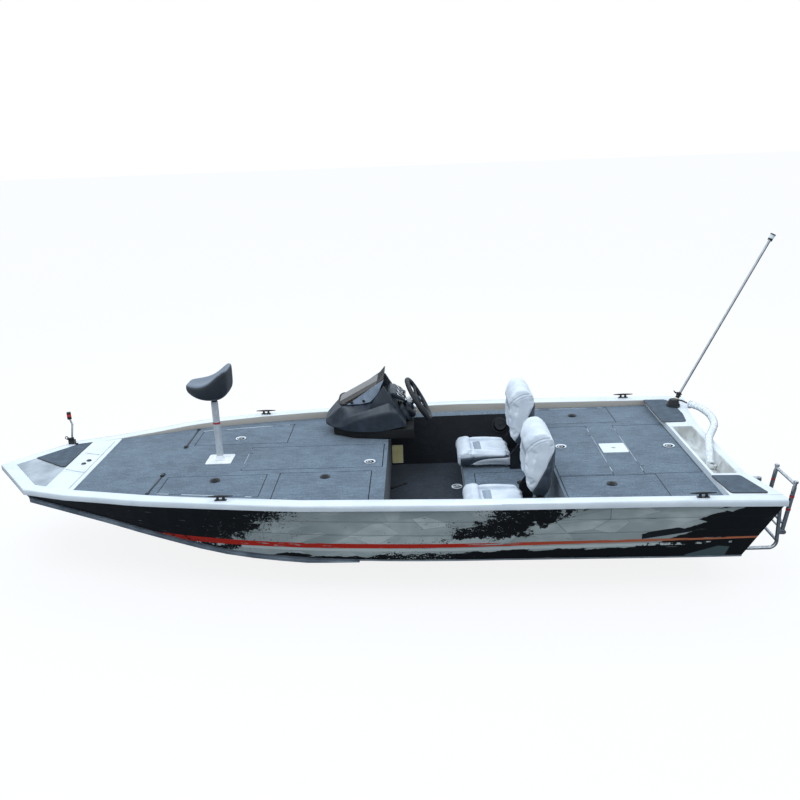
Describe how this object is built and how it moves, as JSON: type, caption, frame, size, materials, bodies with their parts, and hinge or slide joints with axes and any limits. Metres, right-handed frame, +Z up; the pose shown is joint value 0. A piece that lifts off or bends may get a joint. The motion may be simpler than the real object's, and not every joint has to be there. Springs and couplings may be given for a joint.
{
  "type": "bass boat",
  "caption": "Pressed-plate bass boat with carpeted casting decks, low cockpit with console, fold-down seats, lockers and a stern ladder.",
  "frame": {"origin": "on the centreline at the waterline, amidships, 0.42 m below the gunwale at the transom", "axes": "+X aft, +Y to starboard, +Z up"},
  "size_m": [5.5452, 2.0004, 1.8719],
  "materials": {
    "alloy": "bare pressed plate",
    "topsides": "gloss wrapped plate",
    "white_paint": "gloss white paint",
    "carpet": "marine carpet",
    "dark_carpet": "dark marine carpet",
    "black_plastic": "moulded black",
    "console_plastic": "moulded charcoal",
    "tinted_screen": "smoked acrylic",
    "grey_plate": "satin grey",
    "vinyl": "light grey marine vinyl",
    "black_vinyl": "black marine vinyl",
    "stainless": "polished tube",
    "hose_wrap": "spiral film wrap",
    "sign": "blank plate"
  },
  "bodies": {
    "hull": {"bottom_plate": "alloy", "side_port": "topsides", "side_starboard": "topsides", "chine_rails": "alloy", "transom": "alloy", "transom_quarters": "alloy", "gunwale_port": "white_paint", "gunwale_starboard": "white_paint", "bow_plate": "alloy", "bow_panel": "white_paint", "front_deck": "carpet", "front_locker_walls": "alloy", "locker_floors": "alloy", "front_bulkhead": "carpet", "cockpit_floor": "dark_carpet", "cockpit_wall_port": "dark_carpet", "cockpit_wall_starboard": "dark_carpet", "seat_box": "carpet", "rear_bulkhead": "carpet", "rear_deck": "carpet", "rear_locker_walls": "alloy", "stern_frame": "white_paint", "splash_well": "alloy", "cleats": "black_plastic", "pedestal": "white_paint", "rear_socket": "white_paint", "console": "console_plastic", "windscreen": "tinted_screen", "screen_wings": "grey_plate", "steering_boss": "black_plastic", "seat_cushion_port": "vinyl", "seat_cushion_starboard": "vinyl", "seat_hinges": "black_plastic", "bow_light": "black_plastic", "stern_light": "stainless", "ladder_bracket": "stainless", "rigging_boot": "black_plastic", "rigging_hose": "hose_wrap", "wall_pod": "black_plastic", "sign_plate": "sign"},
    "fishing_seat": {"pedestal_seat": "black_vinyl"},
    "steering_wheel": {"steering_wheel": "black_plastic"},
    "seat_back_port": {"seat_back_port": "vinyl"},
    "seat_back_starboard": {"seat_back_starboard": "vinyl"},
    "lid_front_centre": {"lid_front_centre": "carpet"},
    "lid_port_forward": {"lid_port_forward": "carpet"},
    "lid_port_aft": {"lid_port_aft": "carpet"},
    "lid_starboard_forward": {"lid_starboard_forward": "carpet"},
    "lid_rear_centre": {"lid_rear_centre": "carpet"},
    "lid_aft_centre": {"lid_aft_centre": "carpet"},
    "lid_rear_port": {"lid_rear_port": "carpet"},
    "lid_rear_starboard": {"lid_rear_starboard": "carpet"},
    "lid_seat_box": {"lid_seat_box": "carpet"},
    "ladder": {"ladder_rails": "stainless"},
    "ladder_extension": {"ladder_slide": "stainless"}
  },
  "joints": [
    {"name": "fishing_seat_swivel", "type": "hinge", "parent": "hull", "child": "fishing_seat", "pos_m": [-0.96, 0, 0.82], "axis": [0, 0, 1], "continuous": true},
    {"name": "steering", "type": "hinge", "parent": "hull", "child": "steering_wheel", "pos_m": [0.414, 0.55, 0.602], "axis": [0.8704, 0, 0.4924], "range_deg": [-540, 540]},
    {"name": "seat_fold_port", "type": "hinge", "parent": "hull", "child": "seat_back_port", "pos_m": [1.138, -0.452, 0.3], "axis": [0, -1, 0], "range_deg": [0, 68]},
    {"name": "seat_fold_starboard", "type": "hinge", "parent": "hull", "child": "seat_back_starboard", "pos_m": [1.138, 0.452, 0.3], "axis": [0, -1, 0], "range_deg": [0, 68]},
    {"name": "lid_front_centre_hinge", "type": "hinge", "parent": "hull", "child": "lid_front_centre", "pos_m": [-0.778, 0, 0.379], "axis": [0, -1, 0], "range_deg": [0, 75]},
    {"name": "lid_port_forward_hinge", "type": "hinge", "parent": "hull", "child": "lid_port_forward", "pos_m": [-0.91294, -0.61047, 0.379], "axis": [0.9893, -0.1457, 0], "range_deg": [0, 85]},
    {"name": "lid_port_aft_hinge", "type": "hinge", "parent": "hull", "child": "lid_port_aft", "pos_m": [-0.2035, -0.763, 0.379], "axis": [1, 0, 0], "range_deg": [0, 85]},
    {"name": "lid_starboard_forward_hinge", "type": "hinge", "parent": "hull", "child": "lid_starboard_forward", "pos_m": [-0.87795, 0.65297, 0.379], "axis": [-0.9889, -0.1487, 0], "range_deg": [0, 85]},
    {"name": "lid_rear_centre_hinge", "type": "hinge", "parent": "hull", "child": "lid_rear_centre", "pos_m": [1.633, 0, 0.379], "axis": [0, 1, 0], "range_deg": [0, 85]},
    {"name": "lid_aft_centre_hinge", "type": "hinge", "parent": "hull", "child": "lid_aft_centre", "pos_m": [1.827, 0, 0.379], "axis": [0, -1, 0], "range_deg": [0, 85]},
    {"name": "lid_rear_port_hinge", "type": "hinge", "parent": "hull", "child": "lid_rear_port", "pos_m": [1.5885, -0.883, 0.379], "axis": [1, 0, 0], "range_deg": [0, 85]},
    {"name": "lid_rear_starboard_hinge", "type": "hinge", "parent": "hull", "child": "lid_rear_starboard", "pos_m": [1.581, 0.883, 0.379], "axis": [-1, 0, 0], "range_deg": [0, 85]},
    {"name": "lid_seat_box_hinge", "type": "hinge", "parent": "hull", "child": "lid_seat_box", "pos_m": [1.183, 0, 0.14], "axis": [0, 1, 0], "range_deg": [0, 85]},
    {"name": "ladder_swing", "type": "hinge", "parent": "hull", "child": "ladder", "pos_m": [2.552, -0.818, 0.142], "axis": [0, 1, 0], "range_deg": [0, 160]},
    {"name": "ladder_slide", "type": "slide", "parent": "ladder", "child": "ladder_extension", "axis": [0.1634, 0, 0.9866], "range_m": [0, 0.2]}
  ]
}
